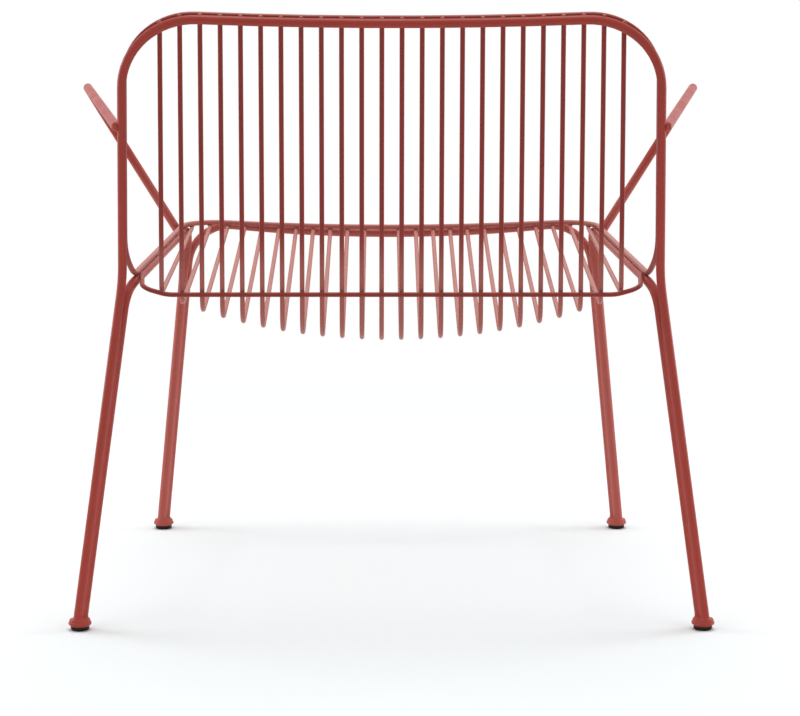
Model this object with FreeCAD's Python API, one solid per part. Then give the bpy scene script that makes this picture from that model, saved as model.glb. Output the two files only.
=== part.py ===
import FreeCAD, Part
import math
import os

# Steel garden armchair: four bent frames welded in pairs along the legs, two arms, and a wire shell.
# Millimetres, +Z up, floor at Z = 0. The chair faces -Y, and +X is the sitter's left.
# Until the last step, Y = 0 is at the bend of the rear frame beside the seat.

# Rod diameters
frame_rod = 9.3
side_rod = 10.2
arm_rod = 10.0
rim_rod = 6.0
cross_rod = 5.0
wire_rod = 5.0
weld_gap = 0.1

# Back, as the rear frame draws it
bend_height = 364.0
bend_half_width = 280.8
bend_radius = 70.0
back_height = 636.0
back_recline = 19.0
top_inset = 12.0
top_corner_radius = 76.0
top_sag = 4.0

# Legs: middle of each pair of rods at the foot, and how the second rod lies beside the first
rear_foot_splay = 45.7
rear_foot_setback = 45.5
rear_pair_angle = 63.0
front_foot_splay = 38.5
front_foot_inset = 12.0
front_pair_angle = 62.0

# Seat frame
seat_depth = 449.5
front_inset = 41.6
front_rail_rise = 7.5
front_rail_sag = 9.3
front_corner_radius = 50.0
rail_rear_drop = 7.0
rail_rear_inset = 9.0
rail_rear_forward = 30.5
rail_bend_drop = 9.0
rail_rear_radius = 31.0
rail_front_radius = 22.0
press_width = 13.8
press_thickness = 6.6
press_rail_run = 8.0
press_leg_run = 50.0

# Rim of the shell
rim_top_rise = 0.4
rim_inset = 1.2
rim_top_radius = 72.0
rim_side_rise = 28.0
rim_side_radius = 75.0
rim_seat_radius = 38.0
rim_front_radius = 57.0
rim_front_rise = 11.3
rim_front_sag = 4.8

# Wires of the shell and the rod that crosses behind them
wire_count = 24
wire_seat_inset = 6.6
wire_top_inset = 36.0
wire_bend_outset = 3.5
wire_overlap = 1.8
dish_edge_drop = 16.0
dish_depth = 60.0
dish_fullness = 0.85
wire_bend_edge = 14.0
wire_bend_middle = 40.0
cross_drop = 17.2
cross_lift_inset = 45.0
cross_lift_radius = 40.0
cross_turn_inset = 20.0
cross_turn_drop = 9.5
cross_turn_radius = 12.0
cross_end_forward = 22.0
cross_end_angle = 46.0

# Arms
arm_rear_rise = 163.0
arm_rear_outset = 5.5
arm_rear_overlap = 2.5
arm_end_round = 4.6
arm_reach = 74.7
arm_corner_forward = 356.0
arm_corner_rise = 20.5
arm_corner_radius = 50.0
arm_seat_setback = 39.0
arm_seat_outset = 5.2

# Feet
glide_diameter = 19.5
glide_height = 4.4
glide_round = 2.0
glide_stem_diameter = 7.0
glide_stem_length = 1.4
collar_lower_height = 1.2
collar_wall = 0.7
flange_lip = 0.8
flange_height = 3.4
flange_round = 1.2
neck_height = 2.2
neck_flare = 0.4
rod_end_rise = 3.0
fit_clearance = 0.1

os.makedirs("parts", exist_ok=True)


def vec(x, y, z):
    """Point or direction."""
    return FreeCAD.Vector(x, y, z)


def unit(v):
    """Direction of length one, leaving v as it was."""
    return FreeCAD.Vector(v).normalize()


def flipped(point):
    """The same point on the other side of the chair."""
    return vec(-point.x, point.y, point.z)


def other_side(shape):
    """Mirror copy on the other side of the chair."""
    return shape.mirror(vec(0, 0, 0), vec(1, 0, 0))


def bend_at(start, corner, ahead, radius):
    """Start, middle and end of the tangent arc that rounds a corner."""
    before = unit(corner - start)
    after = unit(ahead - corner)
    turn = before.getAngle(after)
    reach = radius * math.tan(turn / 2)
    middle = corner + unit(after - before) * (radius / math.cos(turn / 2) - radius)
    return corner - before * reach, middle, corner + after * reach


def bent_path(points, radii):
    """Straight runs through the points, joined by tangent arcs of the given radii."""
    edges = []
    start = points[0]
    for corner, radius, ahead in zip(points[1:-1], radii, points[2:]):
        arc_start, arc_middle, arc_end = bend_at(start, corner, ahead, radius)
        edges.append(Part.LineSegment(start, arc_start).toShape())
        edges.append(Part.Arc(arc_start, arc_middle, arc_end).toShape())
        start = arc_end
    edges.append(Part.LineSegment(start, points[-1]).toShape())
    return Part.Wire(edges)


def rod_along(path, diameter):
    """Round rod whose centre line is the path."""
    first = path.OrderedEdges[0]
    start = first.valueAt(first.FirstParameter)
    section = Part.Wire(Part.Circle(start, first.tangentAt(first.FirstParameter), diameter / 2).toShape())
    return path.makePipeShell([section], True, False)


def bent_rod(points, radii, diameter):
    """Round rod bent along the points."""
    return rod_along(bent_path(points, radii), diameter)


def pressed_bend(start, corner, ahead, radius, diameter):
    """Bend of a round rod that is pressed flatter and wider, with a run into each straight."""
    before = unit(corner - start)
    after = unit(ahead - corner)
    bend_start, bend_middle, bend_end = bend_at(start, corner, ahead, radius)
    aside = unit(before.cross(after))
    stations = [
        (bend_start - before * press_rail_run, before, 0.0),
        (bend_start, before, 0.25),
        (bend_middle, unit(before + after), 0.8),
        (bend_end, after, 1.0),
        (bend_end + after * (press_leg_run * 0.3), after, 0.85),
        (bend_end + after * (press_leg_run * 0.65), after, 0.3),
        (bend_end + after * (press_leg_run * 0.88), after, 0.04),
        (bend_end + after * press_leg_run, after, 0.0),
    ]
    sections = []
    for place, along, pressed in stations:
        half_width = (diameter + (press_width - diameter) * pressed) / 2
        half_thickness = (diameter + (press_thickness - diameter) * pressed) / 2
        section = Part.Ellipse(place, half_width, half_thickness)
        section.Axis = along
        section.XAxis = aside
        sections.append(Part.Wire(section.toShape()))
    return Part.makeLoft(sections, True), stations[0][0], stations[-1][0]


def crossing(path, x):
    """Point where a centre line crosses the upright plane at x."""
    reach = 2 * (seat_depth + back_height)
    corners = [(-reach, -reach), (reach, -reach), (reach, reach), (-reach, reach), (-reach, -reach)]
    plane = Part.Face(Part.makePolygon([vec(x, y, z) for y, z in corners]))
    return path.distToShape(plane)[1][0][0]


def straight_rod(start, end, diameter):
    """Round rod between two points."""
    return Part.makeCylinder(diameter / 2, (end - start).Length, start, end - start)


def sagging_run(sag, half_width, corner_radius):
    """How far a sagging run's corners stand over its ends, its middle below the corners, and its radius."""
    half_run = half_width - corner_radius
    depth = 2 * sag * half_width / half_run
    return depth * corner_radius / half_width, depth, half_run * half_width / depth


# Plane of the back: height along the slope from the bend, and distance towards the sitter
lean = math.radians(back_recline)
top_half_width = bend_half_width - top_inset
top_lift, top_v, top_radius = sagging_run(top_sag, top_half_width, top_corner_radius)
slope_top = (back_height - bend_height) / math.cos(lean) + top_lift


def back_point(x, along, forward=0.0):
    """Point of the reclined back."""
    y = along * math.sin(lean) - forward * math.cos(lean)
    z = bend_height + along * math.cos(lean) + forward * math.sin(lean)
    return vec(x, y, z)


def back_along(height, forward):
    """Slope coordinate at which a layer of the back reaches a height."""
    return (height - bend_height - forward * math.sin(lean)) / math.cos(lean)


front_half_width = bend_half_width - front_inset
front_lift, front_v, front_radius = sagging_run(front_rail_sag, front_half_width, front_corner_radius)
front_corner_height = bend_height + front_rail_rise + front_lift
wire_forward = (frame_rod + wire_rod) / 2 + weld_gap
rim_forward = wire_forward + (wire_rod + rim_rod) / 2 + weld_gap
cross_forward = wire_forward - (wire_rod + cross_rod) / 2 - weld_gap

# Feet: floor, glide, collar, then the two rods of the leg
collar_bottom = glide_height
flange_bottom = collar_bottom + collar_lower_height
flange_top = flange_bottom + flange_height
collar_top = flange_top + neck_height
rod_end_height = collar_bottom + rod_end_rise
pair_distance = (frame_rod + side_rod) / 2 + weld_gap
neck_radius = (pair_distance + side_rod) / 2 + fit_clearance + collar_wall
rear_foot = vec(bend_half_width + rear_foot_splay, rear_foot_setback, flange_top)
front_foot = vec(front_half_width + front_foot_splay, front_foot_inset - seat_depth, flange_top)
rear_bend = vec(bend_half_width, 0, bend_height)
front_corner = vec(front_half_width, -seat_depth, front_corner_height)


def leg_pair(top, foot, angle):
    """Level step from the outer to the inner rod of a leaning leg, so that the two rods touch."""
    step = vec(-math.cos(math.radians(angle)), -math.sin(math.radians(angle)), 0)
    along_leg = step.dot(unit(top - foot))
    return step * (pair_distance / math.sqrt(1 - along_leg ** 2))


rear_pair = leg_pair(rear_bend, rear_foot, rear_pair_angle)
front_pair = leg_pair(front_corner, front_foot, front_pair_angle)


def to_rod_end(top, foot):
    """Lower end of a leg rod on the line from its top through the foot."""
    share = (rod_end_height - top.z) / (foot.z - top.z)
    return top + (foot - top) * share


# Rear frame: leg, bend beside the seat, back, top corner, sagging top rail, and down again
rear_top = back_point(top_half_width, slope_top)
rear_end = to_rod_end(rear_bend, rear_foot - rear_pair * 0.5)
top_middle = back_point(0, slope_top - top_v)
rear_half = [rear_end, rear_bend, rear_top]
rear_points = rear_half + [top_middle] + [flipped(p) for p in reversed(rear_half)]
rear_radii = [bend_radius, top_corner_radius, top_radius, top_corner_radius, bend_radius]
rear_frame = bent_rod(rear_points, rear_radii, frame_rod)

# Front frame: leg, corner, sagging front rail, corner, leg
front_end = to_rod_end(front_corner, front_foot + front_pair * 0.5)
front_middle = vec(0, -seat_depth, front_corner_height - front_v)
front_points = [front_end, front_corner, front_middle, flipped(front_corner), flipped(front_end)]
front_radii = [front_corner_radius, front_radius, front_corner_radius]
front_frame = bent_rod(front_points, front_radii, frame_rod)

# Wire tips come just behind the front rail, and the rim lies on the tips and the side rails
rim_on_wire = (wire_rod + rim_rod) / 2 + weld_gap
rim_on_rail = (side_rod + rim_rod) / 2 + weld_gap
dish_edge_height = bend_height - dish_edge_drop
low_middle = back_point(0, back_along(dish_edge_height - dish_depth, wire_forward), wire_forward)
seat_rise = bend_height + rim_front_rise - rim_front_sag - rim_on_wire - low_middle.z
seat_slope = math.atan2(seat_rise, seat_depth + low_middle.y)
tip_setback = frame_rod / 2 + weld_gap + wire_rod / 2 * math.sin(seat_slope)
rim_front_y = tip_setback + wire_overlap * math.cos(seat_slope) - seat_depth
rim_half_front = front_half_width - front_pair.x
rim_front_lift, rim_front_v, rim_front_bow = sagging_run(rim_front_sag, rim_half_front, rim_front_radius)
rail_front_height = bend_height + rim_front_rise + rim_front_lift - rim_on_rail

# Side frame: second rod of the rear leg, two bends to the rail, the rail, and first rod of the front leg
rear_leg = unit(rear_bend - rear_end)
rail_rear = vec(bend_half_width - rail_rear_inset, -rail_rear_forward, bend_height - rail_rear_drop)
leg_lift = rail_rear.z - rail_bend_drop - rear_end.z
rail_leg_top = rear_end + rear_pair + rear_leg * (leg_lift / rear_leg.z)
front_leg = front_corner - front_end
rail_front = front_end - front_pair + front_leg * ((rail_front_height - front_end.z) / front_leg.z)
side_front_end = front_end - front_pair
front_bend, rail_end, front_leg_top = pressed_bend(
    rail_rear, rail_front, side_front_end, rail_front_radius, side_rod)
rail_points = [rear_end + rear_pair, rail_leg_top, rail_rear, rail_end]
rail = bent_rod(rail_points, [rail_rear_radius, rail_rear_radius], side_rod)
side_frame = front_bend.fuse([rail, straight_rod(front_leg_top, side_front_end, side_rod)]).removeSplitter()

# Rim: along the top of the back, down its sides, over the side rails and across the front
rail_line = unit(rail_front - rail_rear)
rim_seat_rear = rail_rear + vec(0, 0, rim_on_rail)
rim_share = (rim_front_y - rail_rear.y) / (rail_front.y - rail_rear.y)
rim_front_corner = rail_rear + (rail_front - rail_rear) * rim_share + vec(0, 0, rim_on_rail)
rim_front_middle = vec(0, rim_front_y, rim_front_corner.z - rim_front_v)
rim_top_along = slope_top + rim_top_rise
rim_top_half_width = top_half_width - rim_inset
rim_top_corner = back_point(rim_top_half_width, rim_top_along, rim_forward)
rim_top_lift, rim_top_v, rim_top_bow = sagging_run(top_sag, rim_top_half_width, rim_top_radius)
rim_top_middle = back_point(0, rim_top_along - rim_top_v, rim_forward)
rim_low_along = back_along(bend_height + rim_side_rise, rim_forward)
spread = (bend_half_width - top_half_width) / slope_top
rim_back_low = back_point(bend_half_width - rim_inset - spread * rim_low_along, rim_low_along, rim_forward)
rim_joint = (rim_seat_rear + rim_front_corner) * 0.5

back_half = [rim_joint, rim_seat_rear, rim_back_low, rim_top_corner]
back_points = back_half + [rim_top_middle] + [flipped(p) for p in reversed(back_half)]
back_half_radii = [rim_seat_radius, rim_side_radius, rim_top_radius]
back_radii = back_half_radii + [rim_top_bow] + back_half_radii[::-1]
rim_back_path = bent_path(back_points, back_radii)
rim_points = [rim_joint, rim_front_corner, rim_front_middle, flipped(rim_front_corner), flipped(rim_joint)]
rim_front_path = bent_path(rim_points, [rim_front_radius, rim_front_bow, rim_front_radius])
rim = rod_along(rim_back_path, rim_rod).fuse(rod_along(rim_front_path, rim_rod)).removeSplitter()

# Wires: spread evenly, widest at the bend between seat and back and closest at the top
outer_wire = rim_front_corner.x - wire_seat_inset
wire_top_share = (rim_top_half_width - wire_top_inset) / outer_wire
wire_bend_share = (outer_wire + wire_bend_outset) / outer_wire


def shell_wire(x):
    """One wire, from the rim at the top of the back round the dished seat to the rim in front."""
    fullness = (1 - min(abs(x) / outer_wire, 1.0) ** 2) ** dish_fullness
    rim_top = crossing(rim_back_path, x * wire_top_share)
    top_along = back_along(rim_top.z, rim_forward) + wire_overlap
    top = back_point(rim_top.x, top_along, wire_forward)
    low_along = back_along(dish_edge_height - dish_depth * fullness, wire_forward)
    low = back_point(x * wire_bend_share, low_along, wire_forward)
    rim_tip = crossing(rim_front_path, x)
    slope = math.atan2(rim_tip.z - rim_on_wire - low.z, low.y - rim_tip.y)
    tip_drop = rim_on_wire / math.cos(slope) - wire_overlap * math.sin(slope)
    tip = rim_tip - vec(0, wire_overlap * math.cos(slope), tip_drop)
    radius = wire_bend_edge + (wire_bend_middle - wire_bend_edge) * fullness
    return bent_rod([top, low, tip], [radius], wire_rod)


# Cross rod behind the wires, its ends lifted past the outer wires and turned to lie beside the side rails
cross_along = back_along(bend_height - cross_drop, cross_forward)
turn_along = back_along(bend_height - cross_turn_drop, cross_forward)
cross_lift = back_point(bend_half_width - cross_lift_inset, cross_along, cross_forward)
cross_turn = back_point(bend_half_width - cross_turn_inset, turn_along, cross_forward)
cross_on_rail = (side_rod + cross_rod) / 2 + weld_gap
cross_angle = math.radians(cross_end_angle)
inward = vec(-math.cos(cross_angle), 0, math.sin(cross_angle))
cross_end = rail_rear + rail_line * cross_end_forward + inward * cross_on_rail
cross_half = [cross_end, cross_turn, cross_lift]
cross_points = cross_half + [flipped(p) for p in reversed(cross_half)]
cross_radii = [cross_turn_radius, cross_lift_radius, cross_lift_radius, cross_turn_radius]
cross = bent_rod(cross_points, cross_radii, cross_rod)

# Arm: coped on the outer side of the back, out and forward to its corner, and down to the side rail
arm_rear_height = bend_height + arm_rear_rise
arm_corner = vec(bend_half_width + arm_reach, -arm_corner_forward, arm_rear_height + arm_corner_rise)
arm_along = back_along(arm_rear_height, 0)
back_at_arm = back_point(bend_half_width - spread * arm_along, arm_along)
arm_rear = back_at_arm + vec(arm_rear_outset, 0, 0)
arm_rear_end = arm_rear + unit(arm_rear - arm_corner) * arm_rear_overlap
rail_at_arm = rail_front - rail_line * arm_seat_setback
arm_foot = rail_at_arm + vec(arm_seat_outset, 0, 0)
arm = bent_rod([arm_rear_end, arm_corner, arm_foot], [arm_corner_radius], arm_rod)
arm_end_edge = min(arm.Edges, key=lambda e: (e.CenterOfMass - arm_rear_end).Length)
arm = arm.makeFillet(arm_end_round, [arm_end_edge])
rail_reach = rail_line * arm_rod
rail_saddle = straight_rod(rail_at_arm - rail_reach, rail_at_arm + rail_reach, side_rod + 2 * weld_gap)
back_reach = unit(rear_top - rear_bend) * arm_rod
back_saddle = straight_rod(back_at_arm - back_reach, back_at_arm + back_reach, frame_rod + 2 * weld_gap)
arm = arm.cut([rail_saddle, back_saddle])


def glide(foot):
    """Dark glide with a rounded tread and a stem that plugs into the collar."""
    centre = vec(foot.x, foot.y, 0)
    tread = Part.makeCylinder(glide_diameter / 2, glide_height, centre)
    floor_edge = [e for e in tread.Edges if e.BoundBox.ZMax < glide_height / 2]
    tread = tread.makeFillet(glide_round, floor_edge)
    stem = Part.makeCylinder(glide_stem_diameter / 2, glide_height + glide_stem_length, centre)
    return tread.fuse(stem).removeSplitter()


def collar(foot, rods):
    """Flanged foot cup with a conical neck, bored for the two leg rods and the glide's stem."""
    lower_base = vec(foot.x, foot.y, collar_bottom)
    flange_base = vec(foot.x, foot.y, flange_bottom)
    neck_base = vec(foot.x, foot.y, flange_top)
    lower = Part.makeCylinder(glide_diameter / 2, collar_lower_height, lower_base)
    flange = Part.makeCylinder(neck_radius + neck_flare + flange_lip, flange_height, flange_base)
    rims = [e for e in flange.Edges if isinstance(e.Curve, Part.Circle)]
    flange = flange.makeFillet(flange_round, rims)
    neck = Part.makeCone(neck_radius + neck_flare, neck_radius, neck_height, neck_base)
    cup = lower.fuse([flange, neck]).removeSplitter()
    stem_bore = glide_stem_diameter / 2 + fit_clearance
    cup = cup.cut(Part.makeCylinder(stem_bore, glide_stem_length + fit_clearance, lower_base))
    for end, direction, diameter in rods:
        bottom = end - direction * fit_clearance
        socket = straight_rod(bottom, bottom + direction * collar_top * 2, diameter + 2 * fit_clearance)
        cup = cup.cut(socket)
    return cup


pieces = {
    "rear_frame": rear_frame,
    "front_frame": front_frame,
    "side_frame_left": side_frame,
    "side_frame_right": other_side(side_frame),
    "arm_left": arm,
    "arm_right": other_side(arm),
    "rim_rod": rim,
    "cross_rod": cross,
}
for i in range(wire_count):
    x = outer_wire * (1 - 2 * i / (wire_count - 1))
    pieces["shell_wire_%02d" % (i + 1)] = shell_wire(x)

rear_direction = unit(rear_bend - rear_end)
front_direction = unit(front_corner - front_end)
rear_rods = [(rear_end, rear_direction, frame_rod), (rear_end + rear_pair, rear_direction, side_rod)]
front_rods = [(front_end, front_direction, frame_rod), (front_end - front_pair, front_direction, side_rod)]
for place, foot, rods in (("rear", rear_foot, rear_rods), ("front", front_foot, front_rods)):
    foot_collar = collar(foot, rods)
    foot_glide = glide(foot)
    pieces["collar_%s_left" % place] = foot_collar
    pieces["collar_%s_right" % place] = other_side(foot_collar)
    pieces["glide_%s_left" % place] = foot_glide
    pieces["glide_%s_right" % place] = other_side(foot_glide)

# The origin is on the floor under the middle of the chair's outline
rear_limit = rear_frame.optimalBoundingBox().YMax
front_limit = front_frame.optimalBoundingBox().YMin
to_middle = vec(0, -(rear_limit + front_limit) / 2, 0)
for name, shape in pieces.items():
    shape.translate(to_middle)
    shape.exportStep("parts/%s.step" % name)
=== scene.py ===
"""Looks of the steel garden armchair: painted rods, welds, dark glides, pale floor and soft light.

Metres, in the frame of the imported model: +Z up, the chair faces -Y and +X is the sitter's left.
"""

import math
import random

import bmesh
import bpy
from mathutils import Matrix, Vector


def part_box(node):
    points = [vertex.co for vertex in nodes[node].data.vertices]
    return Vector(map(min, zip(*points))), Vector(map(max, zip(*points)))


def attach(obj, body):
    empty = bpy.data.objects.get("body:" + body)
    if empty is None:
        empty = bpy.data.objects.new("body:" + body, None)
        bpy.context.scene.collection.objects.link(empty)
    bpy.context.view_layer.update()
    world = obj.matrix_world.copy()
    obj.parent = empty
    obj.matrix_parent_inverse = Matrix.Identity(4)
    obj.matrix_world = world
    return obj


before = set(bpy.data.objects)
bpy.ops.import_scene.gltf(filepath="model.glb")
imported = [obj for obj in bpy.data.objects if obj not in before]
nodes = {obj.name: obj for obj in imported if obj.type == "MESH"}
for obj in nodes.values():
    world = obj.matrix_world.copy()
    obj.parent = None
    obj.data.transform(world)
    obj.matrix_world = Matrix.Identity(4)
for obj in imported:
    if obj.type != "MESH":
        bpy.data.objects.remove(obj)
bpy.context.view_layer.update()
X, Y, Z = 0, 1, 2

# Camera: behind the chair and a little above its back
CAMERA_PLACE = Vector((0.01085, 2.94217, 0.72102))
CAMERA_PITCH = 0.15792
CAMERA_YAW = -0.00712
CAMERA_ROLL = 0.00074
FOCAL_PIXELS = 2668.1
IMAGE_WIDTH = 800
SENSOR_WIDTH = 36.0

# Light: an even level all round, and soft boxes given by place, target, size and power
WORLD_LEVEL = 0.47
TOP_LIGHT = ((0.0, -0.3, 4.4), (0.0, 0.0, 0.3), 2.0, 96.0)
SIDE_LIGHT = ((1.7, -0.40, 0.50), (0.28, -0.28, 0.20), 0.8, 11.0)
REAR_LIGHT = ((1.8, 2.0, 0.7), (0.0, 0.1, 0.35), 0.8, 5.0)

# Floor, which fades out between two distances from the chair
FLOOR = (0.920, 0.962, 0.970)
FLOOR_HALF_SIZE = 6.0
FLOOR_ROUGHNESS = 0.9
FLOOR_FADE = (0.55, 1.5)

# Paint colours, linear, a pale colour for painted highlights and worn edges, and the heights and depths
# between which the paint gets painted highlights on the seat and low in front
FRAME_PAINT = Vector((0.385, 0.056, 0.042))
WIRE_PAINT = Vector((0.280, 0.042, 0.033))
# Pale colour of the painted highlights and of the worn edges
PAINT_HIGHLIGHT_AND_WEAR = Vector((0.55, 0.22, 0.185))
SEAT_HIGHLIGHT_HEIGHTS = (0.36, 0.42)
FRONT_HIGHLIGHT_DEPTH = (-0.25, 0.25)
FRONT_HIGHLIGHT_HEIGHT = (0.40, 0.48)

# Finish of each paint: painted highlight on what faces the sky, on the seat, and low in front (fade)
FRAME_FINISH = {"roughness": 0.38, "gloss": 0.14, "sky_highlight": 0.0, "seat_highlight": 0.0, "fade": 0.26}
WIRE_FINISH = {"roughness": 0.34, "gloss": 0.12, "sky_highlight": 0.9, "seat_highlight": 0.46, "fade": 0.0}
ROD_FINISH = {"roughness": 0.34, "gloss": 0.12, "sky_highlight": 0.3, "seat_highlight": 0.0, "fade": 0.0}
FOOT_FINISH = {"roughness": 0.42, "gloss": 0.14, "sky_highlight": 0.0, "seat_highlight": 0.0, "fade": 0.16}

# Paint surface: each noise by scale and detail, and the range of it that counts
MOTTLE_NOISE = (24.0, 3.0)
MOTTLE_RANGE = (0.30, 0.70)
MOTTLE_DEPTH = 0.94
SKYWARD_RANGE = (0.2, 1.0)
BLOTCH_NOISE = (6.0, 3.0)
BLOTCH_RANGE = (0.3, 0.7)
BLOTCH_SHARE = (0.55, 1.0)
RUB_NOISE = (260.0, 2.0)
RUB_RANGE = (0.40, 0.62)
RUB_RADIUS = 0.0007
SHEEN_SPREAD = (-0.03, 0.05)
PEEL_NOISE = (900.0, 2.0)
PEEL_STRENGTH = 0.06
BUMP_DEPTH = 0.0003
EDGE_TURN = (0.80, 0.97)
EDGE_SAMPLES = 4

# Glides
GLIDE = (0.014, 0.010, 0.009)
GLIDE_SCUFF = (0.022, 0.016, 0.015)
GLIDE_WORN = (0.050, 0.042, 0.040)
GLIDE_GLOSS = 0.12
GLIDE_ROUGHNESS = (0.45, 0.65)
GLIDE_EDGE = 0.0008
SCUFF_NOISE = (420.0, 3.0)
SCUFF_RANGE = (0.45, 0.70)
GRAIN_NOISE = (1500.0, 2.0)
GRAIN_STRENGTH = 0.12

# Seams along the legs
LEG_LEVELS = (0.05, 0.28)
SEAM_TOP = {"rear": 0.325, "front": 0.318}
SEAM_START = 0.001
SEAM_RADIUS = 0.004
SEAM_RIPPLE = 0.12
SEAM_STEP = 0.006
SEAM_TAPER = 0.040
SEAM_END = 0.15
SEAM_SIDES = 8

# Welds at the feet: rise over the collar, and share of the way from the rods out to its neck
FOOT_PROFILE = ((-0.0004, 0.92), (0.0, 0.85), (0.0010, 0.38), (0.0020, 0.12), (0.0030, 0.0))
FOOT_SIDES = 36
FOOT_LEAST_REACH = 0.004
FOOT_COVER = 0.0002
NECK_BAND = 0.0001

# Tacks: half sizes across the rod, along it and off it
TACK = Vector((0.0034, 0.0017, 0.0014))
CROSS_TACK = Vector((0.0030, 0.0017, 0.0013))
RAIL_TACK = Vector((0.0024, 0.0075, 0.0014))
WIRE_CAP = Vector((0.0025, 0.0018, 0.0025))
ARM_TACK = Vector((0.0040, 0.0044, 0.0026))
ARM_TACK_LIFT = 0.0005
TACK_UNEVEN = 0.08
TACK_SUBDIVISIONS = 2
RAIL_TACKS = 5
RAIL_MARGIN = 0.05

# Beads round the arms' feet
BEAD_RADIUS = 0.0010
BEAD_SPREAD = (0.85, 1.1)
BEAD_LUMPS = 36

# Where rods are measured: distances from a rod's end, and planes that part the back, seat and front
BACK_RUN = (0.005, 0.12)
SEAT_RUN = (0.004, 0.05)
RAIL_LEVELS = (-0.12, 0.08)
POST_RUN = (0.05, 0.02)
POST_END = 0.01
ARM_RUN = (0.05, 0.012)
ARM_TIP = 0.5
ARM_BACK_REACH = 0.04
BACK_PLANE = 0.1
FRONT_PLANE = -0.1
TOP_LEVEL = 0.5
SEAT_LEVEL = 0.45
RAIL_LEVEL = 0.3
CROSS_MARGIN = 0.02


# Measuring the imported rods
def section(node, axis, level, keep=lambda p: True):
    """Middle and half size of a rod where it crosses a plane."""
    mesh = nodes[node].data
    points = []
    for edge in mesh.edges:
        a, b = (mesh.vertices[i].co for i in edge.vertices)
        if (a[axis] - level) * (b[axis] - level) < 0:
            point = a.lerp(b, (level - a[axis]) / (b[axis] - a[axis]))
            if keep(point):
                points.append(point)
    low = Vector([min(p[k] for p in points) for k in range(3)])
    high = Vector([max(p[k] for p in points) for k in range(3)])
    return (low + high) / 2, (high - low) / 2


class Run:
    """Straight run of a rod: a point on its axis, its direction and its radius."""

    def __init__(self, node, axis, levels, keep=lambda p: True):
        first, half = section(node, axis, levels[0], keep)
        second, _ = section(node, axis, levels[1], keep)
        self.point = first
        self.direction = (second - first).normalized()
        others = [k for k in range(3) if k != axis]
        self.radius = min(half[k] for k in others)

    def at(self, axis, level):
        """Point of the axis at a level."""
        return self.point + self.direction * ((level - self.point[axis]) / self.direction[axis])

    def nearest(self, place):
        """Point of the axis nearest to a place."""
        return self.point + self.direction * (place - self.point).dot(self.direction)


# Meshes
def add_piece(name, shape, material):
    """Smooth mesh piece of the chair."""
    mesh = bpy.data.meshes.new(name)
    bmesh.ops.recalc_face_normals(shape, faces=shape.faces)
    shape.to_mesh(mesh)
    shape.free()
    for face in mesh.polygons:
        face.use_smooth = True
    piece = bpy.data.objects.new(name, mesh)
    bpy.context.scene.collection.objects.link(piece)
    mesh.materials.append(material)
    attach(piece, "root")


def skin(shape, rings):
    """Closed skin over rings of points."""
    loops = [[shape.verts.new(p) for p in ring] for ring in rings]
    count = len(loops[0])
    for low, high in zip(loops, loops[1:]):
        for k in range(count):
            shape.faces.new((low[k], low[(k + 1) % count], high[(k + 1) % count], high[k]))
    shape.faces.new(loops[0][::-1])
    shape.faces.new(loops[-1])


def seam_ring(first, second, across, first_radius, second_radius, hollow):
    """Outline of the weld in the valley of two rods: a hollow arc that touches both, and its root."""
    line = second - first
    distance = line.length
    line = line / distance
    reach_first = first_radius + hollow
    reach_second = second_radius + hollow
    along = (distance ** 2 + reach_first ** 2 - reach_second ** 2) / (2 * distance)
    up = math.sqrt(reach_first ** 2 - along ** 2)
    centre = first + line * along + across * up
    start = (first - centre).normalized()
    end = (second - centre).normalized()
    ring = []
    for k in range(SEAM_SIDES + 1):
        ring.append(centre + start.slerp(end, k / SEAM_SIDES).normalized() * hollow)
    ring.append(first.lerp(second, first_radius / (first_radius + second_radius)))
    return ring


def leg_seam(name, first, second, low, high, material):
    """Weld metal along both valleys of a leg's two rods, thinning out where they part."""
    shape = bmesh.new()
    chance = random.Random(name)
    count = round((high - low) / SEAM_STEP)
    for side in (1, -1):
        rings = []
        for k in range(count + 1):
            level = low + (high - low) * k / count
            a = first.at(Z, level)
            b = second.nearest(a)
            across = first.direction.cross(b - a).normalized() * side
            swell = 1 + SEAM_RIPPLE * chance.uniform(-1, 1)
            thin = min(1.0, (high - level) / SEAM_TAPER + SEAM_END)
            rings.append(seam_ring(a, b, across, first.radius, second.radius, SEAM_RADIUS * swell * thin))
        skin(shape, rings)
    add_piece(name, shape, material)


def tack(shape, place, along, normal, size, chance):
    """Small lump of weld metal: longest across the rod, flat towards the other rod, a little uneven."""
    normal = (normal - along * normal.dot(along)).normalized()
    across = along.cross(normal)
    ball = bmesh.ops.create_icosphere(shape, subdivisions=TACK_SUBDIVISIONS, radius=1.0)
    for vertex in ball["verts"]:
        p = vertex.co * (1 + TACK_UNEVEN * chance.uniform(-1, 1))
        vertex.co = place + across * (p.x * size.x) + along * (p.y * size.y) + normal * (p.z * size.z)


def bead(shape, rod, host, end, chance):
    """Bead of weld lumps round the end of a rod, where its surface meets another rod."""
    aside = rod.direction.cross(host.direction).normalized()
    up = rod.direction.cross(aside)
    for k in range(BEAD_LUMPS):
        turn = 2 * math.pi * k / BEAD_LUMPS
        radial = (aside * math.cos(turn) + up * math.sin(turn)) * rod.radius
        start = end + radial - host.point
        flat = start - host.direction * start.dot(host.direction)
        step = rod.direction - host.direction * rod.direction.dot(host.direction)
        half = flat.dot(step) / step.length_squared
        rest = half ** 2 - (flat.length_squared - host.radius ** 2) / step.length_squared
        if rest > 0:
            place = end + radial - rod.direction * (half + math.sqrt(rest))
            size = Vector((1, 1, 1)) * BEAD_RADIUS * chance.uniform(*BEAD_SPREAD)
            tack(shape, place, rod.direction, radial, size, chance)


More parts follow.
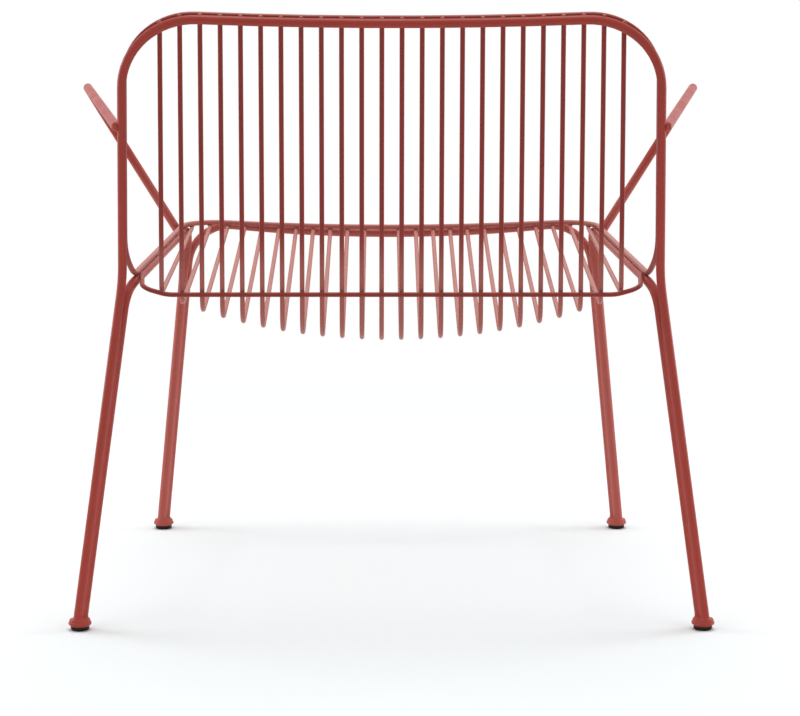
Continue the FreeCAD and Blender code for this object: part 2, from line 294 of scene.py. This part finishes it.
def foot_weld(name, collar, first, second, material):
    """Weld that runs from the two rods of a leg out onto the neck of the foot's collar."""
    mesh = nodes[collar].data
    top = max(v.co.z for v in mesh.vertices)
    ring = [v.co for v in mesh.vertices if v.co.z > top - NECK_BAND]
    low = Vector([min(p[k] for p in ring) for k in range(3)])
    high = Vector([max(p[k] for p in ring) for k in range(3)])
    middle = (low + high) / 2
    neck = (high.x - low.x) / 2
    rods = [(rod.at(Z, top), rod.radius) for rod in (first, second)]
    rings = []
    for rise, spread in FOOT_PROFILE:
        points = []
        lean = first.direction * (rise / first.direction.z)
        for k in range(FOOT_SIDES):
            turn = 2 * math.pi * k / FOOT_SIDES
            way = Vector((math.cos(turn), math.sin(turn), 0.0))
            reach = FOOT_LEAST_REACH
            for place, radius in rods:
                offset = place - middle
                along = way.dot(offset)
                rest = along ** 2 - offset.length_squared + radius ** 2
                if rest > 0:
                    reach = max(reach, along + math.sqrt(rest))
            points.append(middle + lean + way * (reach + (neck - reach) * spread + FOOT_COVER))
        rings.append(points)
    shape = bmesh.new()
    skin(shape, rings)
    add_piece(name, shape, material)


# Materials
def new_material(name):
    """Node material, its tree and its shader."""
    material = bpy.data.materials.new(name)
    material.use_nodes = True
    tree = material.node_tree
    return material, tree, tree.nodes["Principled BSDF"]


def add_node(tree, kind, **values):
    """Node of a kind, with sockets set by name."""
    node = tree.nodes.new(kind)
    for name, value in values.items():
        node.inputs[name].default_value = value
    return node


def noise(tree, place, scale, detail):
    """Noise of a given scale at a place."""
    node = add_node(tree, "ShaderNodeTexNoise", Scale=scale, Detail=detail)
    tree.links.new(place, node.inputs["Vector"])
    return node.outputs["Fac"]


def map_range(tree, value, given, wanted, smooth=False):
    """Value carried from one range to another."""
    node = tree.nodes.new("ShaderNodeMapRange")
    node.interpolation_type = "SMOOTHSTEP" if smooth else "LINEAR"
    tree.links.new(value, node.inputs["Value"])
    for name, number in zip(("From Min", "From Max", "To Min", "To Max"), (*given, *wanted)):
        node.inputs[name].default_value = number
    return node.outputs["Result"]


def share(tree, value, given):
    """Smooth share of a value: 0 at the low end of a range and 1 at its high end."""
    return map_range(tree, value, given, (0.0, 1.0), smooth=True)


def mixed(tree, amount, first, second):
    """Colour between two by an amount. Each can be a colour or an output."""
    node = tree.nodes.new("ShaderNodeMix")
    node.data_type = "RGBA"
    tree.links.new(amount, node.inputs["Factor"])
    sockets = [s for s in node.inputs if s.type == "RGBA"]
    for socket, colour in zip(sockets, (first, second)):
        if isinstance(colour, tuple):
            socket.default_value = (*colour, 1.0)
        else:
            tree.links.new(colour, socket)
    return next(s for s in node.outputs if s.type == "RGBA")


def times(tree, first, second):
    """Product of two outputs."""
    node = tree.nodes.new("ShaderNodeMath")
    node.operation = "MULTIPLY"
    tree.links.new(first, node.inputs[0])
    tree.links.new(second, node.inputs[1])
    return node.outputs[0]


def parts_of(tree, vector):
    """Node that splits a vector into X, Y and Z."""
    node = tree.nodes.new("ShaderNodeSeparateXYZ")
    tree.links.new(vector, node.inputs[0])
    return node.outputs


def edge_share(tree, rounded):
    """Share of wear on sharp edges, where the rounded normal turns away from the true one."""
    geometry = tree.nodes.new("ShaderNodeNewGeometry")
    dot = tree.nodes.new("ShaderNodeVectorMath")
    dot.operation = "DOT_PRODUCT"
    tree.links.new(rounded, dot.inputs[0])
    tree.links.new(geometry.outputs["Normal"], dot.inputs[1])
    return map_range(tree, dot.outputs["Value"], EDGE_TURN, (1.0, 0.0), smooth=True)


def rounded_normal(tree, radius):
    """Normal with the sharp edges rounded."""
    node = add_node(tree, "ShaderNodeBevel", Radius=radius)
    node.samples = EDGE_SAMPLES
    return node.outputs["Normal"]


def bumped(tree, height, strength, normal):
    """Bump over a normal."""
    node = add_node(tree, "ShaderNodeBump", Strength=strength, Distance=BUMP_DEPTH)
    tree.links.new(height, node.inputs["Height"])
    tree.links.new(normal, node.inputs["Normal"])
    return node.outputs["Normal"]


def paint(name, colour, roughness, gloss, sky_highlight, seat_highlight, fade):
    """Satin powder coat: mottled, with painted highlights where it faces the sky, at and below the seat and
    low in front, and worn pale on sharp edges.
    """
    material, tree, shader = new_material(name)
    # Pale colour for the painted highlights and for worn edges
    highlight_and_wear_colour = tuple(PAINT_HIGHLIGHT_AND_WEAR)
    place = tree.nodes.new("ShaderNodeTexCoord").outputs["Object"]
    mottle = share(tree, noise(tree, place, *MOTTLE_NOISE), MOTTLE_RANGE)
    deep = mixed(tree, mottle, tuple(colour), tuple(colour * MOTTLE_DEPTH))
    facing = parts_of(tree, tree.nodes.new("ShaderNodeNewGeometry").outputs["Normal"])
    skyward = share(tree, facing["Z"], SKYWARD_RANGE)
    blotch = map_range(tree, noise(tree, place, *BLOTCH_NOISE), BLOTCH_RANGE, BLOTCH_SHARE)
    # Painted highlight: paler paint in blotches where the surface faces up, for light from above
    with_sky_highlight = mixed(tree, times(tree, skyward, blotch), deep, tuple(colour.lerp(PAINT_HIGHLIGHT_AND_WEAR, sky_highlight)))
    spot = parts_of(tree, place)
    # Painted highlight: pale paint at and below the seat's height, for light on the seat wires and the
    # wires' bends
    seat = map_range(tree, spot["Z"], SEAT_HIGHLIGHT_HEIGHTS, (seat_highlight, 0.0), smooth=True)
    with_seat_highlight = mixed(tree, seat, with_sky_highlight, highlight_and_wear_colour)
    # Painted highlight: pale paint on the low front parts, for the front legs and rails seen lighter
    front = map_range(tree, spot["Y"], FRONT_HIGHLIGHT_DEPTH, (fade, 0.0), smooth=True)
    below = map_range(tree, spot["Z"], FRONT_HIGHLIGHT_HEIGHT, (1.0, 0.0), smooth=True)
    with_front_highlight = mixed(tree, times(tree, front, below), with_seat_highlight, highlight_and_wear_colour)
    rounded = rounded_normal(tree, RUB_RADIUS)
    rub = share(tree, noise(tree, place, *RUB_NOISE), RUB_RANGE)
    rubbed = mixed(tree, times(tree, edge_share(tree, rounded), rub), with_front_highlight, highlight_and_wear_colour)
    tree.links.new(rubbed, shader.inputs["Base Color"])
    sheen = map_range(tree, mottle, (0.0, 1.0), [roughness + spread for spread in SHEEN_SPREAD])
    tree.links.new(sheen, shader.inputs["Roughness"])
    peel = noise(tree, place, *PEEL_NOISE)
    tree.links.new(bumped(tree, peel, PEEL_STRENGTH, rounded), shader.inputs["Normal"])
    shader.inputs["Specular IOR Level"].default_value = gloss
    return material


def glide_plastic():
    """Matte moulded plastic, scuffed grey on its edges."""
    material, tree, shader = new_material("glide_plastic")
    place = tree.nodes.new("ShaderNodeTexCoord").outputs["Object"]
    scuff = share(tree, noise(tree, place, *SCUFF_NOISE), SCUFF_RANGE)
    rounded = rounded_normal(tree, GLIDE_EDGE)
    colour = mixed(tree, scuff, GLIDE, GLIDE_SCUFF)
    colour = mixed(tree, times(tree, edge_share(tree, rounded), scuff), colour, GLIDE_WORN)
    tree.links.new(colour, shader.inputs["Base Color"])
    tree.links.new(map_range(tree, scuff, (0.0, 1.0), GLIDE_ROUGHNESS), shader.inputs["Roughness"])
    shader.inputs["Specular IOR Level"].default_value = GLIDE_GLOSS
    grain = noise(tree, place, *GRAIN_NOISE)
    tree.links.new(bumped(tree, grain, GRAIN_STRENGTH, rounded), shader.inputs["Normal"])
    return material


frame_paint = paint("frame_paint", FRAME_PAINT, **FRAME_FINISH)
wire_paint = paint("wire_paint", WIRE_PAINT, **WIRE_FINISH)
rod_paint = paint("rod_paint", WIRE_PAINT, **ROD_FINISH)
foot_paint = paint("foot_paint", FRAME_PAINT, **FOOT_FINISH)
plastic = glide_plastic()


def finish_of(name):
    """Material of a CAD node."""
    if name.startswith("glide"):
        return plastic
    if name.startswith("collar"):
        return foot_paint
    if name == "rim_rod" or name.startswith("shell_wire"):
        return wire_paint
    if name == "cross_rod":
        return rod_paint
    return frame_paint


for name, node in nodes.items():
    node.data.materials.clear()
    node.data.materials.append(finish_of(name))

# Welds along the legs and at the feet
for side_name, side in (("left", 1), ("right", -1)):
    for place, lead, front in (("rear", "rear_frame", 1), ("front", "front_frame", -1)):
        outer = Run(lead, Z, LEG_LEVELS, lambda p: p.x * side > 0)
        inner = Run("side_frame_" + side_name, Z, LEG_LEVELS, lambda p: p.y * front > 0)
        collar_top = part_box("collar_%s_%s" % (place, side_name))[1].z
        leg_seam("leg_seam_%s_%s" % (place, side_name), outer, inner, collar_top - SEAM_START,
                 SEAM_TOP[place], frame_paint)
        foot_weld("foot_weld_%s_%s" % (place, side_name), "collar_%s_%s" % (place, side_name), outer, inner,
                  foot_paint)

# Welds of the wires: to the rim at the top and in front, and to the cross rod, with caps on the wires' ends
wires = sorted(n for n in nodes if n.startswith("shell_wire"))
cross_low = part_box("cross_rod")[0].z
cross_radius = section("cross_rod", X, 0.0)[1].z
cross_level = cross_low + cross_radius
top_welds, front_welds, cross_welds, wire_caps = (bmesh.new() for _ in range(4))
chance = random.Random("tacks")
for name in wires:
    low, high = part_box(name)
    back = Run(name, Z, [high.z - d for d in BACK_RUN], lambda p: p.y > BACK_PLANE)
    rim_top = section("rim_rod", X, back.at(Z, high.z).x, lambda p: p.z > TOP_LEVEL)[0]
    place = back.nearest(rim_top)
    normal = (rim_top - place).normalized()
    tack(top_welds, place + normal * back.radius, back.direction, normal, TACK, chance)
    tip = back.at(Z, high.z - back.radius * abs(back.direction.y))
    tack(wire_caps, tip, back.direction, normal, WIRE_CAP, chance)
    seat = Run(name, Y, [low.y + d for d in SEAT_RUN], lambda p: p.z < SEAT_LEVEL)
    rim_front = section("rim_rod", X, seat.at(Y, low.y).x, lambda p: p.y < FRONT_PLANE)[0]
    place = seat.nearest(rim_front)
    normal = (rim_front - place).normalized()
    tack(front_welds, place + normal * seat.radius, seat.direction, normal, TACK, chance)
    tip = seat.at(Y, low.y + seat.radius * abs(seat.direction.z))
    tack(wire_caps, tip, seat.direction, normal, WIRE_CAP, chance)
    if low.z + CROSS_MARGIN < cross_low:
        rod = section("cross_rod", X, back.at(Z, cross_level).x, lambda p: p.y > BACK_PLANE)[0]
        place = back.nearest(rod)
        normal = (rod - place).normalized()
        tack(cross_welds, place + normal * back.radius, back.direction, normal, CROSS_TACK, chance)
add_piece("welds_back_top", top_welds, wire_paint)
add_piece("welds_seat_front", front_welds, wire_paint)
add_piece("welds_cross_rod", cross_welds, wire_paint)
add_piece("wire_caps", wire_caps, wire_paint)

# Welds of the rim along the side rails, and of both ends of the arms
for side_name, side in (("left", 1), ("right", -1)):
    chance = random.Random("rail " + side_name)
    rail = Run("side_frame_" + side_name, Y, RAIL_LEVELS, lambda p: p.z > RAIL_LEVEL)
    rim = Run("rim_rod", Y, RAIL_LEVELS, lambda p: p.x * side > 0 and p.z < SEAT_LEVEL)
    rail_welds = bmesh.new()
    rail_start = RAIL_LEVELS[0] - RAIL_MARGIN
    rail_end = RAIL_LEVELS[1] + RAIL_MARGIN
    for k in range(RAIL_TACKS):
        place = rail.at(Y, rail_start + (rail_end - rail_start) * k / (RAIL_TACKS - 1))
        normal = (rim.nearest(place) - place).normalized()
        tack(rail_welds, place + normal * rail.radius, rail.direction, normal, RAIL_TACK, chance)
    add_piece("welds_rail_" + side_name, rail_welds, frame_paint)
    arm_welds = bmesh.new()
    arm = nodes["arm_" + side_name].data.vertices
    arm_low = min(v.co.z for v in arm)
    post = Run("arm_" + side_name, Z, [arm_low + d for d in POST_RUN])
    bead(arm_welds, post, rail, post.at(Z, arm_low + POST_END), chance)
    arm_rear = max(v.co.y for v in arm)
    top_run = Run("arm_" + side_name, Y, [arm_rear - d for d in ARM_RUN])
    arm_height = top_run.at(Y, arm_rear - ARM_RUN[1]).z
    back_levels = (arm_height - ARM_BACK_REACH, arm_height + ARM_BACK_REACH)
    back = Run("rear_frame", Z, back_levels, lambda p: p.x * side > 0)
    arm_tip = top_run.at(Y, arm_rear - top_run.radius * ARM_TIP)
    inner = back.nearest(arm_tip)
    normal = (arm_tip - inner).normalized()
    tack(arm_welds, inner + normal * (back.radius + ARM_TACK_LIFT), back.direction, normal, ARM_TACK, chance)
    add_piece("welds_arm_" + side_name, arm_welds, frame_paint)


# Floor, light and camera
def floor_plane():
    """Pale floor under the chair that melts into the white background."""
    mesh = bpy.data.meshes.new("floor")
    shape = bmesh.new()
    bmesh.ops.create_grid(shape, x_segments=1, y_segments=1, size=FLOOR_HALF_SIZE)
    shape.to_mesh(mesh)
    shape.free()
    floor = bpy.data.objects.new("floor", mesh)
    bpy.context.scene.collection.objects.link(floor)
    material, tree, shader = new_material("floor")
    shader.inputs["Base Color"].default_value = (*FLOOR, 1.0)
    shader.inputs["Roughness"].default_value = FLOOR_ROUGHNESS
    shader.inputs["Specular IOR Level"].default_value = 0.0
    place = tree.nodes.new("ShaderNodeTexCoord").outputs["Object"]
    length = tree.nodes.new("ShaderNodeVectorMath")
    length.operation = "LENGTH"
    tree.links.new(place, length.inputs[0])
    fade = map_range(tree, length.outputs["Value"], FLOOR_FADE, (1.0, 0.0), smooth=True)
    tree.links.new(fade, shader.inputs["Alpha"])
    mesh.materials.append(material)


def white_world(level):
    """White background for the camera and reflections, and even light of a plain level on the chair."""
    world = bpy.data.worlds.new("studio")
    bpy.context.scene.world = world
    world.use_nodes = True
    tree = world.node_tree
    background = tree.nodes["Background"]
    background.inputs["Color"].default_value = (1.0, 1.0, 1.0, 1.0)
    path = tree.nodes.new("ShaderNodeLightPath")
    seen = path.outputs["Is Camera Ray"]
    for name in ("Is Glossy Ray", "Is Transmission Ray"):
        either = tree.nodes.new("ShaderNodeMath")
        either.operation = "MAXIMUM"
        tree.links.new(seen, either.inputs[0])
        tree.links.new(path.outputs[name], either.inputs[1])
        seen = either.outputs[0]
    strength = map_range(tree, seen, (0.0, 1.0), (level, 1.0))
    tree.links.new(strength, background.inputs["Strength"])


def soft_light(name, place, target, size, power, side=1):
    """Square soft box that faces a target, mirrored to the other side of the chair by side = -1."""
    place, target = (Vector((side * p[X], p[Y], p[Z])) for p in (place, target))
    data = bpy.data.lights.new(name, "AREA")
    data.shape = "SQUARE"
    data.size = size
    data.energy = power
    light = bpy.data.objects.new(name, data)
    bpy.context.scene.collection.objects.link(light)
    light.location = place
    light.rotation_euler = (target - place).to_track_quat("-Z", "Y").to_euler()


def camera():
    """Camera at the photograph's view."""
    cp, sp = math.cos(CAMERA_PITCH), math.sin(CAMERA_PITCH)
    cy, sy = math.cos(CAMERA_YAW), math.sin(CAMERA_YAW)
    cr, sr = math.cos(CAMERA_ROLL), math.sin(CAMERA_ROLL)
    ahead = Vector((sy * cp, -cy * cp, -sp))
    level = -Vector((cy, sy, 0.0))
    lift = Vector((sp * sy, -sp * cy, cp))
    right = cr * level + sr * lift
    up = -sr * level + cr * lift
    data = bpy.data.cameras.new("camera")
    data.sensor_width = SENSOR_WIDTH
    data.lens = FOCAL_PIXELS / IMAGE_WIDTH * SENSOR_WIDTH
    item = bpy.data.objects.new("camera", data)
    bpy.context.scene.collection.objects.link(item)
    turn = Matrix((right, up, -ahead)).transposed().to_4x4()
    item.matrix_world = Matrix.Translation(CAMERA_PLACE) @ turn
    bpy.context.scene.camera = item


floor_plane()
white_world(WORLD_LEVEL)
soft_light("top_light", *TOP_LIGHT)
for side in (1, -1):
    soft_light("side_light", *SIDE_LIGHT, side)
    soft_light("rear_light", *REAR_LIGHT, side)
camera()
bpy.context.scene.view_settings.view_transform = "Standard"
